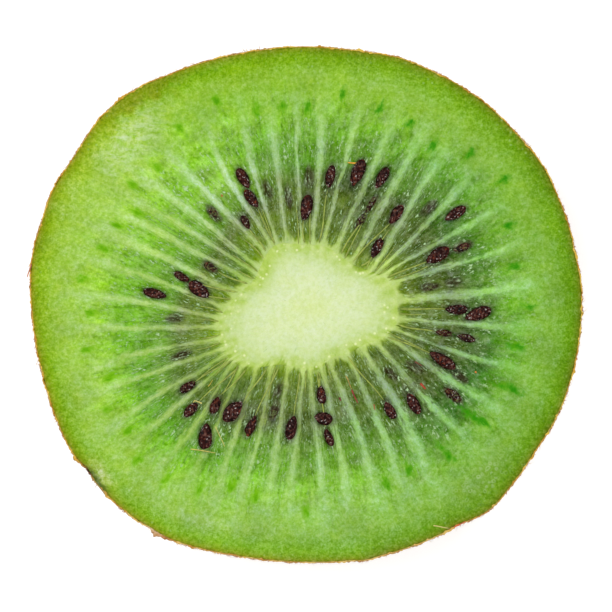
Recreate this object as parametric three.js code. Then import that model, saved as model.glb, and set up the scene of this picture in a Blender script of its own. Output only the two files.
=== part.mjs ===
// A slice of kiwi fruit, cut straight across the middle of the fruit, lying on one cut face.
// Millimetres, +Z up. The origin is on the lower cut face, at the middle of the slice's box.
// Bearings are in degrees, clockwise from +Y as seen from above.
import * as THREE from "three";

// The slice.
const sliceLength = 52; // across a cut face, along X
const sliceWidth = 48.4; // across a cut face, along Y, before the swells
const sliceThickness = 9;
const skinBulge = 0.25; // how far the side stands out at mid height, past the cut edges
const knifeEdge = 0.15; // the small round where the side meets a cut face

// Where the skin stands out of the plain ellipse, or dips into it: bearing, height and spread.
const rimSwells = [
  { bearing: 36, height: 0.45, spread: 26 },
  { bearing: 114, height: 0.2, spread: 9 },
  { bearing: 137, height: 0.75, spread: 13 },
  { bearing: 160, height: 0.35, spread: 14 },
  { bearing: 216, height: 1, spread: 16 },
  { bearing: 237, height: 0.35, spread: 9 },
  { bearing: 261, height: -0.5, spread: 12 },
  { bearing: 290, height: 0.3, spread: 12 },
  { bearing: 303, height: -0.25, spread: 7 },
  { bearing: 317, height: 1, spread: 18 },
];

// The pale core, which is a round with two lobes and a flat. It stands a little off the middle.
const coreRadius = 5.9;
const coreOffset = new THREE.Vector2(0.3, -0.3);
const coreLobes = [
  { bearing: 88, height: 2.4, spread: 30 },
  { bearing: 152, height: -0.8, spread: 24 },
  { bearing: 243, height: 3.1, spread: 24 },
];

// The relief of the upper cut face: the firm core stands proud, and the ring of soft seed
// chambers round it is slightly dished.
const coreRise = 0.1;
const chamberDip = 0.18;
const chamberReach = 0.62; // how far out the dish runs, as a share of the way from core to skin

// How finely the turned blank is cut up.
const roundSteps = 144;
const bulgeSteps = 7;
const dishSteps = 5;
const rimRadius = 25; // of the round blank's cut faces, before it takes the fruit's outline
const coreEdgeShare = 0.85; // where the core's raised face starts, as a share of its reach
const coreMiddleShare = 0.4;

// A bell-shaped swell: its height at its own bearing, fading to nothing over its spread.
function swellSum(bearing, swells) {
  return swells.reduce((sum, swell) => {
    const away = THREE.MathUtils.euclideanModulo(bearing - swell.bearing + 180, 360) - 180;
    return sum + swell.height * Math.exp(-((away / swell.spread) ** 2));
  }, 0);
}

// The distance from the middle to a cut face's edge: an ellipse with its swells.
function rimReach(bearing) {
  const turn = THREE.MathUtils.degToRad(bearing);
  const ellipse = 1 / Math.hypot(
    Math.sin(turn) / (sliceLength / 2),
    Math.cos(turn) / (sliceWidth / 2),
  );
  return ellipse + swellSum(bearing, rimSwells);
}

// The distance from the core's own middle to its edge: a circle with its lobes.
function coreReach(bearing) {
  return coreRadius + swellSum(bearing, coreLobes);
}

// Half the blank's section, from the middle of the lower face round to the middle of the upper one.
function blankProfile() {
  const points = [new THREE.Vector2(0, 0), new THREE.Vector2(rimRadius / 2, 0)];
  points.push(new THREE.Vector2(rimRadius - knifeEdge, 0));
  for (let i = 0; i <= bulgeSteps; i++) {
    const up = THREE.MathUtils.lerp(-1, 1, i / bulgeSteps);
    const height = sliceThickness / 2 + up * (sliceThickness / 2 - knifeEdge);
    points.push(new THREE.Vector2(rimRadius + skinBulge * (1 - up * up), height));
  }
  points.push(new THREE.Vector2(rimRadius - knifeEdge, sliceThickness));
  const dishRadius = THREE.MathUtils.lerp(coreRadius, rimRadius, chamberReach);
  for (let i = 0; i <= dishSteps; i++) {
    const inwards = i / dishSteps;
    const radius = THREE.MathUtils.lerp(dishRadius, coreRadius, inwards);
    points.push(new THREE.Vector2(radius, sliceThickness - chamberDip * Math.sin(Math.PI * inwards)));
  }
  points.push(new THREE.Vector2(coreRadius * coreEdgeShare, sliceThickness + coreRise));
  points.push(new THREE.Vector2(coreRadius * coreMiddleShare, sliceThickness + coreRise));
  points.push(new THREE.Vector2(0, sliceThickness + coreRise));
  return points;
}

// Moves a point of the round blank to its place in the fruit: the blank's core takes the core's
// outline, and what lies outside it is spread between the core's edge and the skin.
function pressToOutline(positions) {
  const place = new THREE.Vector3();
  for (let i = 0; i < positions.count; i++) {
    place.fromBufferAttribute(positions, i);
    const radius = Math.hypot(place.x, place.y);
    const turn = radius > 0 ? Math.atan2(place.x, place.y) : 0;
    const bearing = THREE.MathUtils.radToDeg(turn);
    const way = new THREE.Vector2(Math.sin(turn), Math.cos(turn));
    const coreEdge = way.clone().multiplyScalar(coreReach(bearing)).add(coreOffset);
    const skinEdge = way.clone().multiplyScalar(rimReach(bearing));
    const outwards = (radius - coreRadius) / (rimRadius - coreRadius);
    const point = outwards < 0
      ? coreOffset.clone().lerp(coreEdge, radius / coreRadius)
      : coreEdge.clone().lerp(skinEdge, outwards);
    positions.setXYZ(i, point.x, point.y, place.z);
  }
}

function sliceGeometry() {
  const geometry = new THREE.LatheGeometry(blankProfile(), roundSteps);
  geometry.rotateX(Math.PI / 2);
  pressToOutline(geometry.getAttribute("position"));
  geometry.computeBoundingBox();
  const middle = geometry.boundingBox.getCenter(new THREE.Vector3());
  geometry.translate(-middle.x, -middle.y, 0);
  geometry.computeVertexNormals();
  return geometry;
}

const flesh = new THREE.MeshStandardMaterial({ color: 0x93c84f, roughness: 0.35, metalness: 0 });
const slice = new THREE.Mesh(sliceGeometry(), flesh);
slice.name = "kiwi_slice";

const part = new THREE.Group();
part.add(slice);

export default part;
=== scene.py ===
import bpy
import numpy as np
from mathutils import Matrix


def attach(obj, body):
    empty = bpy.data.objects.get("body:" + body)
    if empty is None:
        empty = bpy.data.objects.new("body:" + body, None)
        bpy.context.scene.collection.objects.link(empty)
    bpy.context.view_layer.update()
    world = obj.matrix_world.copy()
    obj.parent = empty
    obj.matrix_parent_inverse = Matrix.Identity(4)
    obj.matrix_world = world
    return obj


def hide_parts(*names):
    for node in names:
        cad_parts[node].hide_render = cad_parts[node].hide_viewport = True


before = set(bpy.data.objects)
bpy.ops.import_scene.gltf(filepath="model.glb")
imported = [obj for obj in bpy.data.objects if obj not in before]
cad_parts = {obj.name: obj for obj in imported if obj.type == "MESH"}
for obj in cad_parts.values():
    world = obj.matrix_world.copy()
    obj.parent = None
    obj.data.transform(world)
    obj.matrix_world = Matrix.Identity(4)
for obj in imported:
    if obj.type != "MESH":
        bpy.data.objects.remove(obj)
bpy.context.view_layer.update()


# ---- The flesh ----
# Ripe kiwi flesh cut straight across the fruit: a firm pale core, pale rays that run out from
# it, wet green seed chambers between the rays, and granular outer flesh up to the skin. It all
# grows as one piece. Bearings are in degrees, clockwise from +Y as seen from above.

MM = 0.001
THICKNESS = 9.0  # between the two cut faces
KNIFE_EDGE = 0.15  # how far the side's round reaches down from a cut face
SIDE_BULGE = 0.15  # how far the side stands out at mid height
EDGE_ROUND = 0.06  # the flesh's own rounding where it meets the skin
SKIN_BACK = 0.13  # how far the flesh stops inside the outline where the skin is thinnest

CORE_MIDDLE = np.array([0.2, -0.33])
CORE_RADIUS = 5.7
FLESH_DEPTH = 18  # about how far it is from the core to the skin
RIM_RADIUS = 25  # about how far the skin lies from the slice's middle
HALF_WAY_ROUND = 75  # the distance round the slice, half way out in the chambers
# Where the core reaches further: bearing, height, spread and how flat-topped.
CORE_LOBES = (
    (88, 2.7, 30, 3), (246, 3.15, 30, 3), (152, -0.6, 16, 2), (332, 0.95, 18, 2),
    (283, 0.35, 9, 2), (13, 0.3, 14, 2), (106, 0.25, 12, 2), (138, 0.3, 12, 2), (172, 0.3, 12, 2),
)

# Each ray: its bearing where it leaves the core and its bearing far out, how far it bows to the
# clockwise side on its way, as a share of the gap between two rays, and its breadth.
RAY_END_REACH = 18.8
RAYS = (
    (4.5, 3.5, 0.08, 1.1), (13, 15, -0.05, 0.9), (25.5, 24.5, 0, 1.1), (44.5, 33.5, 0, 1.2),
    (60, 41.5, -0.05, 1.2), (63, 51, 0.1, 0.95), (66, 62.5, 0, 0.9), (73.5, 73, 0.05, 0.9),
    (85.5, 84, 0.05, 1.8), (97, 95.5, 0, 1.1), (104, 106, 0.1, 0.7), (109.5, 117.5, 0.1, 1.1),
    (116, 129, 0.1, 0.9), (125.5, 144, -0.15, 1.35), (139, 152, -0.08, 1.3),
    (158.5, 160, -0.2, 1.25), (167.5, 168.5, -0.15, 1.35), (178, 175.5, 0, 1.15),
    (183.5, 185.5, 0, 1.15),
    (199, 191.5, 0, 1.25), (212.5, 200, -0.2, 0.95), (220.5, 206.5, 0, 1.05),
    (229, 215.5, -0.15, 0.85), (234, 224, -0.25, 1.05), (236.5, 232.5, 0, 0.95),
    (240.5, 239, 0.1, 1), (244.5, 247.5, 0.05, 1), (251, 254, 0.15, 1.1),
    (258, 264.5, -0.05, 1.05), (263.5, 272.5, 0.1, 1), (269.5, 282, 0.1, 0.95),
    (280.5, 290.5, 0.05, 1.4), (294.5, 296.5, 0.1, 1.3), (303.5, 302, 0.15, 1),
    (309, 308, 0.15, 1), (323, 318, 0, 1.15), (329, 331, -0.2, 1.05), (334, 341.5, -0.2, 0.9),
    (342, 349, -0.02, 1.15), (355, 356.5, -0.05, 0.7),
)

# The green bundle at the outer end of each chamber: how far it lies from the core's middle.
BUNDLE_REACH = (
    20.2, 19.9, 19.8, 19.2, 21.0, 22.0, 20.3, 19.7, 20.8, 20.1,
    21.0, 19.7, 19.2, 18.0, 18.1, 0, 0, 19.1, 0, 18.4,
    18.3, 19.9, 20.9, 21.4, 20.4, 21.1, 19.7, 21.2, 20.4, 21.3,
    20.1, 19.5, 18.3, 20.1, 19.4, 20.6, 21.2, 19.2, 19.1, 18.7,
)

# Each seed in the upper face: bearing and reach from the core's middle, how far it is turned
# from pointing outwards, its length and width, and how far the flesh veils it, from 0 to 1.
# Past FAINT a seed is also drawn into the flesh, and past BURIED it is only drawn.
FAINT, BURIED = 0.3, 0.62
UPPER_SEEDS = (
    (9.6, 12.4, 2, 2.4, 1.0, 0.15), (20.2, 13.5, 3, 2.7, 1.2, 0), (29.6, 14.1, 1, 2.2, 1.0, 0),
    (31.3, 11.4, 0, 1.9, 0.6, 0.45), (31.0, 9.6, 0, 1.8, 0.7, 0.5),
    (49.0, 8.6, -21, 1.95, 0.95, 0.1), (43.3, 12.1, -10, 2.1, 1.05, 0.1),
    (50.5, 14.7, 0, 1.9, 0.9, 0.7), (57.4, 16.5, 2, 2.2, 1.0, 0.1),
    (67.9, 13.2, -9, 2.45, 1.3, 0), (68.4, 15.6, 1, 1.85, 0.95, 0.35),
    (80.3, 11.6, 0, 1.8, 0.75, 0.6), (80, 13.8, 0, 1.5, 0.8, 0.85), (90.5, 14.0, 0, 2.1, 1.0, 0),
    (91.9, 16.0, -22, 2.45, 1.2, 0), (100.5, 12.9, 0, 1.8, 0.7, 0.4),
    (100.7, 15.2, 3, 1.85, 0.8, 0.3), (111.4, 13.6, 11, 2.7, 1.1, 0),
    (114.5, 15.7, 10, 1.6, 0.8, 0.8), (119, 11.4, 0, 1.8, 0.9, 0.8),
    (121.1, 15.9, 7, 2.1, 0.95, 0.4), (128.5, 10.0, 5, 1.7, 0.7, 0.75),
    (132, 13.2, 18, 2.5, 1.05, 0), (141.3, 12.2, 8, 2.0, 1.0, 0.1), (171.1, 8.3, 0, 1.7, 0.95, 0.15),
    (172, 10.5, -71, 1.95, 1.2, 0), (170.9, 12.3, -14, 1.75, 0.8, 0.2),
    (187.9, 11.4, 4, 2.35, 1.1, 0), (198, 10.2, 0, 1.9, 0.8, 0.6), (200, 8.4, 0, 1.6, 0.7, 0.85),
    (205.9, 12.35, -3, 2.2, 0.95, 0), (215.7, 12.0, 13, 2.55, 1.6, 0),
    (218.2, 15.5, -35, 2.45, 1.35, 0), (223.8, 12.5, -20, 1.9, 0.95, 0),
    (229, 14.5, -5, 1.9, 0.95, 0.2), (236.8, 13.5, 0, 1.8, 0.9, 0.3),
    (249.5, 12.7, 0, 1.8, 0.7, 0.7), (265.5, 12.6, 0, 1.6, 0.8, 0.85),
    (275.4, 14.5, 9, 2.15, 0.9, 0), (279.5, 10.4, 28, 2.25, 1.3, 0), (283.8, 12.2, 16, 1.7, 0.8, 0.25),
    (292.8, 9.9, 10, 1.6, 0.85, 0.45), (315, 12.5, 5, 1.9, 0.9, 0.5), (324, 10.0, 10, 1.6, 0.8, 0.3),
    (332.5, 11.5, -7, 2.1, 0.95, 0), (333.4, 13.65, -3, 2.0, 1.0, 0), (341, 11.7, 0, 1.8, 0.9, 0.85),
    (350, 10.5, 0, 2.2, 0.6, 0.8), (358.8, 9.4, 14, 2.5, 1.2, 0), (0.5, 12.3, 0, 1.9, 0.9, 0.85),
)


def bell(bearing, middle, spread, power=2):
    """1 at the middle bearing, falling as exp(-|difference / spread|^power) round the circle."""
    away = (bearing - middle + 180) % 360 - 180
    return np.exp(-np.abs(away / spread) ** power)


def hump(x, middle, spread):
    """1 where x is at the middle, falling as exp(-((x - middle) / spread)^2) on both sides."""
    return np.exp(-(((x - middle) / spread) ** 2))


def ease(low, high, x):
    """0 below low and 1 above high, with the smooth 3t^2 - 2t^3 between them."""
    t = np.clip((x - low) / (high - low), 0, 1)
    return t * t * (3 - 2 * t)


def outwards(bearing):
    """The unit vector in X and Y that points along a bearing."""
    turn = np.radians(bearing)
    return np.stack([np.sin(turn), np.cos(turn)], -1)


def bearing_of(offset):
    """The bearing of an offset in X and Y, from 0 to 360."""
    return np.degrees(np.arctan2(offset[..., 0], offset[..., 1])) % 360


def at_height(flat, height):
    """Points in X and Y with their heights added."""
    return np.concatenate([flat, height[..., None]], -1)


def unit(ways):
    """The same ways, each one long."""
    return ways / np.linalg.norm(ways, axis=-1, keepdims=True)


def ripple(x, y, size, seed):
    """An uneven field from about -1 to 1: sixteen sine waves about size long, crossing at random."""
    draw = np.random.default_rng(seed)
    field = np.zeros(np.shape(x))
    for _ in range(16):
        way = draw.uniform(0, 2 * np.pi)
        length = size * draw.uniform(0.7, 1.6)
        phase = draw.uniform(0, 2 * np.pi)
        along = x * np.cos(way) + y * np.sin(way)
        field += np.sin(2 * np.pi * along / length + phase)
    return field / 4


def drawn_ripple(place, reach, size, seed):
    """An uneven field from about -1 to 1, size across the fibres and five times that along
    them: sixteen sine waves, each a whole number of times round the slice."""
    draw = np.random.default_rng(seed)
    field = np.zeros(np.shape(place))
    for _ in range(16):
        rounds = np.round(HALF_WAY_ROUND / (size * draw.uniform(0.7, 1.8)))
        along = draw.uniform(-1, 1) / (5 * size)
        phase = draw.uniform(0, 2 * np.pi)
        field += np.sin(2 * np.pi * (rounds * place / len(RAYS) + along * reach) + phase)
    return field / 4


def tint(places, stops):
    """A colour for each place, run straight between stops of (place, red, green, blue)."""
    table = np.array(stops, float)
    return np.stack([np.interp(places, table[:, 0], table[:, i]) for i in (1, 2, 3)], -1)


def blend_to(colour, other, share):
    """colour moved towards other by share."""
    return colour + (np.asarray(other, float) - colour) * share[..., None]


LIT_WHITE = 1.46  # how much brighter than its own colour a surface looks in the studio light
GLOSS_VEIL = 0.0045  # the light that the wet surface adds over its colour


def reflectance(seen):
    """The linear colour of a surface that looks like this 0 to 255 display colour when lit."""
    share = np.clip(np.asarray(seen, float) / 255, 0, 1)
    linear = np.where(share <= 0.04045, share / 12.92, ((share + 0.055) / 1.055) ** 2.4)
    return np.maximum(linear - GLOSS_VEIL, 0.001) / LIT_WHITE


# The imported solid's upper cut edge: its points that lie far out, KNIFE_EDGE below the face.
FAR_OUT, CLOSE_TO = 20, 0.03
cad_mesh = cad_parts["kiwi_slice"].data
cad_points = np.empty(3 * len(cad_mesh.vertices))
cad_mesh.vertices.foreach_get("co", cad_points)
cad_points = cad_points.reshape(-1, 3) / MM
cad_radii = np.hypot(cad_points[:, 0], cad_points[:, 1])
edge_gap = np.abs(cad_points[:, 2] - THICKNESS + KNIFE_EDGE)
on_cut_edge = (cad_radii > FAR_OUT) & (edge_gap < CLOSE_TO)
edge_points = cad_points[on_cut_edge]
edge_order = np.argsort(bearing_of(edge_points))
edge_bearings = bearing_of(edge_points)[edge_order]
edge_radii = cad_radii[on_cut_edge][edge_order]

# Slight swells and dents of the cut edge: bearing, spread and how far out.
SWELLS = (
    (8, 7, -0.1), (21, 3, 0.12), (60, 6, 0.17), (79, 4, -0.13), (122, 4, -0.09), (138, 4, 0.22),
    (146, 2.5, -0.18), (167, 2.5, 0.15), (216, 4, -0.17), (233, 2.2, -0.26), (260, 6, 0.13),
    (287.5, 5, -0.2), (329, 5, -0.12),
)


def rim_reach(bearing):
    """How far the cut edge lies from the slice's middle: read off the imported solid, and swelled."""
    reach = np.interp(bearing % 360, edge_bearings, edge_radii, period=360)
    return reach + sum(out * bell(bearing, middle, spread) for middle, spread, out in SWELLS)


def skin_depth(bearing):
    """How far the flesh stops inside the outline, behind the skin, which is thickest on one side."""
    return SKIN_BACK * (1 + 0.12 * bell(bearing, 180, 50, 4))


def core_reach(bearing):
    """How far the core reaches from its middle: a circle with its lobes."""
    return CORE_RADIUS + sum(h * bell(bearing, b, s, p) for b, h, s, p in CORE_LOBES)


# The grid's columns follow the rays: each gap between two rays has the same number of them.
COLUMNS_A_GAP = 18
ray_in, ray_out, ray_bow, ray_breadth = np.array(RAYS, float).T
turns = np.arange(COLUMNS_A_GAP * len(RAYS)) / COLUMNS_A_GAP


def between_rays(values, places, full_turn=0.0):
    """One value for each ray, run straight from each ray to the next; a full turn adds to it."""
    whole = np.append(values, values[0] + full_turn)
    return np.interp(places % len(values), np.arange(len(whole)), whole)


def chamber_points(places, share):
    """Points in X and Y: places say between which rays, share how far from the core to the rim,
    which the straight way out meets at a point found by halving thirty times."""
    bearing_in = between_rays(ray_in, places, 360)
    bearing_out = between_rays(ray_out, places, 360)
    start = CORE_MIDDLE + core_reach(bearing_in)[..., None] * outwards(bearing_in)
    way = CORE_MIDDLE + RAY_END_REACH * outwards(bearing_out) - start
    low, high = np.full(np.shape(places), 0.5), np.full(np.shape(places), 3.0)
    for _ in range(30):
        middle = (low + high) / 2
        reached = start + way * middle[..., None]
        bearing = bearing_of(reached)
        inside = np.hypot(reached[..., 0], reached[..., 1]) < rim_reach(bearing) - skin_depth(bearing)
        low, high = np.where(inside, middle, low), np.where(inside, high, middle)
    return start + way * (low * share)[..., None]


def core_points(places, share):
    """Points in X and Y inside the core: share 0 is its middle and 1 is its edge."""
    bearing = between_rays(ray_in, places, 360)
    return CORE_MIDDLE + (core_reach(bearing) * share)[..., None] * outwards(bearing)


def seed_frame(seed):
    """A seed's middle, its long way and its cross way in X and Y, worked out from its row."""
    bearing, reach, turned = seed[:3]
    long_way, cross_way = outwards(bearing + turned), outwards(bearing + turned + 90)
    return CORE_MIDDLE + reach * outwards(bearing), long_way, cross_way


# What each tissue looks like in the studio light, from the core's edge (0) to the skin (1).
RAY_TINTS = (
    (0, 190, 214, 122), (0.05, 174, 200, 106), (0.1, 164, 188, 110), (0.2, 158, 182, 120),
    (0.3, 155, 177, 122), (0.4, 158, 193, 127), (0.5, 163, 205, 126), (0.6, 166, 211, 120),
    (0.7, 164, 209, 117), (0.8, 157, 202, 104), (0.9, 146, 190, 80),
)
CHAMBER_TINTS = (
    (0, 144, 174, 58), (0.02, 118, 148, 26), (0.05, 102, 130, 0), (0.1, 93, 119, 0),
    (0.15, 88, 115, 0), (0.2, 85, 110, 2), (0.25, 79, 100, 4), (0.3, 73, 98, 4),
    (0.35, 75, 108, 4), (0.4, 85, 134, 10), (0.5, 101, 161, 24), (0.6, 122, 185, 42),
    (0.7, 136, 194, 54), (0.8, 143, 196, 66),
)
OUTER_TINTS = (
    (0, 148, 194, 76), (0.6, 150, 199, 88), (0.7, 150, 199, 80), (0.8, 146, 194, 71),
    (0.85, 143, 189, 67), (0.9, 131, 180, 50), (0.95, 117, 166, 12), (0.98, 114, 150, 0),
    (1, 132, 137, 0),
)
CORE_TINTS = (
    (0, 220, 236, 164), (0.3, 222, 237, 179), (0.5, 220, 235, 180), (0.6, 216, 233, 174),
    (0.7, 212, 230, 168), (0.8, 206, 226, 156), (0.9, 197, 219, 138), (1, 187, 212, 118),
)
VEILED_SEED = (60, 50, 38)
# Lit and shaded copies of the bundles' green, for painted light: lighter on the sunny side.
BUNDLE_SHADY = (62, 150, 0)
BUNDLE_SUNNY = (116, 184, 0)
BRUISE_PALE = (194, 222, 138)
BRUISE_OLIVE = (133, 151, 0)
SCAR_PALE = (190, 208, 130)
SCAB_DARK = (78, 96, 48)
# The flesh is painted paler and yellower towards SUNNY_BEARING: painted light on the key light's side.
SUNNY_BEARING = 285  # the flesh is paler and yellower on this side
LONG_BUNDLES = 120  # the bundles round this bearing run far inwards
BRUISE_BEARING = 313.5
SCAB_BEARING = 231  # about where the skin scarred over as it grew

# Where the flesh is lighter, darker or milkier than round about: the bearing and its spread,
# the share of the way out and its spread, and what is added to the red, green and blue.
PATCHES = (
    (165, 30, 0.62, 0.2, 14, 12, 13), (152, 22, 0.38, 0.1, 7, 13, 4), (307, 15, 0.94, 0.05, 22, 14, 26),
    (283, 22, 0.93, 0.05, 12, 7, 11), (338, 24, 0.74, 0.13, -14, -8, -10),
    (328, 12, 0.42, 0.1, 15, 9, 22), (348, 14, 0.47, 0.12, -9, -9, 2), (180, 60, 0.985, 0.05, 6, 3, 34),
    (50, 12, 0.64, 0.12, -11, -9, 4), (30, 12, 0.33, 0.14, -11, -12, -9),
    (68, 26, 0.08, 0.06, 16, 15, 12), (88, 12, 0.2, 0.08, 15, 14, 12), (88, 12, 0.54, 0.12, 10, 14, 2),
    (302, 15, 0.1, 0.08, -12, -4, -17), (230, 15, 0.12, 0.09, -11, -2, -14),
    (246, 14, 0.27, 0.08, 5, 15, 6), (284, 20, 0.26, 0.08, 1, 9, 2), (272, 16, 0.5, 0.08, -8, -5, -6),
    (203, 14, 0.4, 0.08, 9, 13, 8), (25, 25, 0.88, 0.06, 7, 8, 12), (82, 32, 0.52, 0.2, 4, 4, -3),
    (206, 11, 0.865, 0.035, 14, 9, 26),
    (310, 7, 0.77, 0.08, 12, 7, 18), (320, 6, 0.73, 0.05, -8, -9, -10), (333, 11, 0.95, 0.04, -9, -5, -20),
    (344, 8, 0.94, 0.05, 12, 12, -8), (286, 12, 0.4, 0.06, -11, -10, -9), (312, 8, 0.62, 0.06, 4, 0, 10),
    (20, 11, 0.34, 0.08, -9, -9, -12), (60, 9, 0.08, 0.07, 10, 13, 0), (62, 8, 0.42, 0.07, -12, -9, -15),
    (122, 9, 0.29, 0.07, -9, -17, -13), (202, 9, 0.27, 0.05, -9, -13, -9),
    (220, 9, 0.17, 0.07, -11, -11, -12), (220, 14, 0.54, 0.1, -11, -7, -15),
    (242, 14, 0.12, 0.07, -6, 0, -14), (295, 22, 0.1, 0.05, -5, 0, -14),
    (322, 9, 0.37, 0.1, 8, 7, 12), (340, 9, 0.26, 0.05, 9, 12, 11),
    (160, 16, 0.33, 0.05, 3, 14, 2), (222, 12, 0.33, 0.05, 4, 16, -6), (345, 10, 0.33, 0.04, -4, -16, 4),
    (70, 14, 0.48, 0.07, 0, 11, -6), (0, 8, 0.42, 0.04, 4, 14, 4), (100, 12, 0.66, 0.05, -10, -2, -14),
    (37, 12, 0.62, 0.06, -7, -3, -8), (121, 17, 0.53, 0.09, -13, -6, -13),
    (120, 14, 0.38, 0.06, 3, 11, 1), (35, 10, 0.33, 0.04, 9, 8, 10), (188, 20, 0.62, 0.07, 5, 7, 3),
)


# The numbers that the flesh's material needs at each point: how many half breadths it is from
# the middle of a ray, and how much it has there of each of these, from 0 to 1.
FLESH_VALUES = ("off_ray", "ray", "wet", "fine", "grain", "rim", "halo", "veiled", "knot", "sun")
FLESH_VALUES += ("froth", "brushed")
FAR_OFF = 4  # half breadths from a ray, where nothing of it shows any more


def finger(place, depth):
    """How far the chambers' dark inner ends have set in, from 0 to 1, at a depth outside the
    core's edge. Each end is a round fingertip, and starts a little earlier or later."""
    across = place % 1
    number = np.floor(place).astype(int) % len(RAYS)
    draw = np.random.default_rng(28)
    early = draw.uniform(-0.6, 0.25, len(RAYS))[number]
    early = early + 0.45 * bell(between_rays(ray_in, place, 360), 314, 26)
    rounding = 0.9 * np.abs(2 * across - 1) ** 2.5
    uneven = 0.12 * drawn_ripple(place, depth, 0.5, 29)
    return ease(-0.12, 0.4, depth - early - rounding + uneven)


def lower_seeds():
    """The seeds of the lower face: one in each chamber but a few, drawn at random."""
    draw = np.random.default_rng(31)
    places = np.arange(len(RAYS))[draw.random(len(RAYS)) < 0.8] + 0.5
    points = chamber_points(places, draw.uniform(0.24, 0.44, len(places)))
    offset = points - CORE_MIDDLE
    bearing, reach = bearing_of(offset), np.hypot(offset[:, 0], offset[:, 1])
    turned = draw.normal(0, 9, len(places))
    length = draw.uniform(1.9, 2.6, len(places))
    veil = np.where(draw.random(len(places)) < 0.3, BURIED + 0.08, 0.05)
    return np.stack([bearing, reach, turned, length, length * 0.47, veil], -1)


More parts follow.
